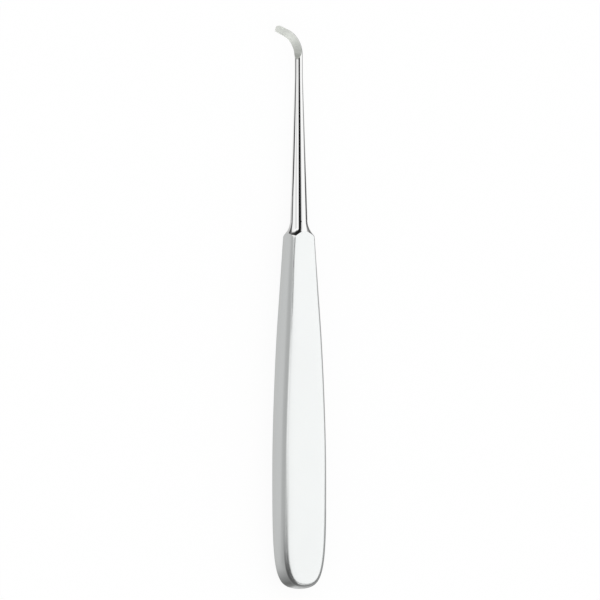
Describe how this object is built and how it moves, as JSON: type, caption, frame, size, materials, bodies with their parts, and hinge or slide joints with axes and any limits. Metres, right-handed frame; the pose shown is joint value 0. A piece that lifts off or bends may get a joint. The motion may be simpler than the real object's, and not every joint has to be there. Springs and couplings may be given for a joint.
{
  "type": "root elevator",
  "caption": "Steel hand instrument in one piece: a flat paddle handle, a slim round shank and a narrow curved blade with a ground face.",
  "frame": {"origin": "middle of the flat on the handle's back face, on which the instrument rests", "axes": "+Y along the handle and shank, from the butt to the blade; +Z out of the broad front face; the blade bends towards -X"},
  "size_m": [0.0148, 0.1601, 0.0079],
  "materials": {
    "steel": "satin handle, mirror-polished shank, blasted working face"
  },
  "bodies": {
    "root": {"root_elevator": "steel"}
  },
  "joints": []
}
